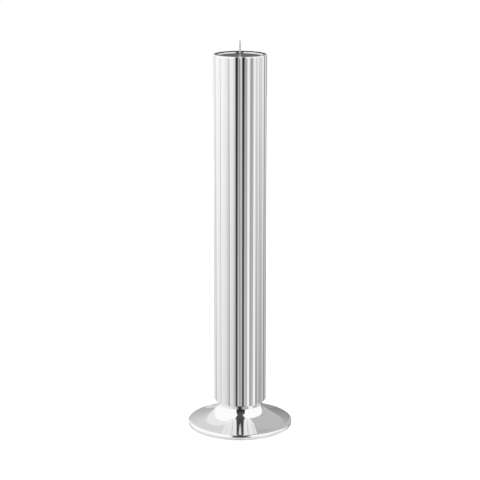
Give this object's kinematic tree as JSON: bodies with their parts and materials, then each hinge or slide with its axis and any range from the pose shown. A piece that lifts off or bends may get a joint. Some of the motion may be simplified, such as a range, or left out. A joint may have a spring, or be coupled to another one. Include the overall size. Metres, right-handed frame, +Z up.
{
  "type": "pillar candle holder",
  "caption": "Tall ribbed metal column on a round flared foot, with a shallow lift-out dish and a spike that holds one pillar candle.",
  "frame": {"origin": "on the holder's axis, on the surface that it stands on", "axes": "+Z up along the holder's axis, towards the spike; a groove between two ribs faces -Y"},
  "size_m": [0.1396, 0.1396, 0.5181],
  "materials": {
    "polished_steel": "mirror-polished stainless steel",
    "dish_steel": "polished stainless steel with fine turning lines",
    "turned_aluminium": "as turned",
    "zinc_steel": "zinc plated",
    "cast_iron": "as cast, black dipped",
    "black_rubber": "matt",
    "dark_felt": "pressed wool felt"
  },
  "bodies": {
    "candle_holder": {"ribbed_column": "polished_steel", "foot_shell": "polished_steel", "head_plug": "turned_aluminium", "foot_plug": "turned_aluminium", "tie_rod": "zinc_steel", "head_washer": "zinc_steel", "head_nut": "zinc_steel", "dish_cushion_ring": "black_rubber", "neck_gasket": "black_rubber", "foot_weight": "cast_iron", "clamp_washer": "zinc_steel", "lock_washer": "zinc_steel", "clamp_nut": "zinc_steel", "base_plate": "zinc_steel", "base_screw_1": "zinc_steel", "base_screw_2": "zinc_steel", "base_screw_3": "zinc_steel", "base_pad": "dark_felt"},
    "dish_insert": {"candle_dish": "dish_steel", "pricket_spike": "dish_steel", "spike_washer": "zinc_steel", "spike_nut": "zinc_steel"}
  },
  "joints": [
    {"name": "dish_lift", "type": "slide", "parent": "candle_holder", "child": "dish_insert", "axis": [0, 0, 1], "range_m": [0, 0.03]}
  ]
}
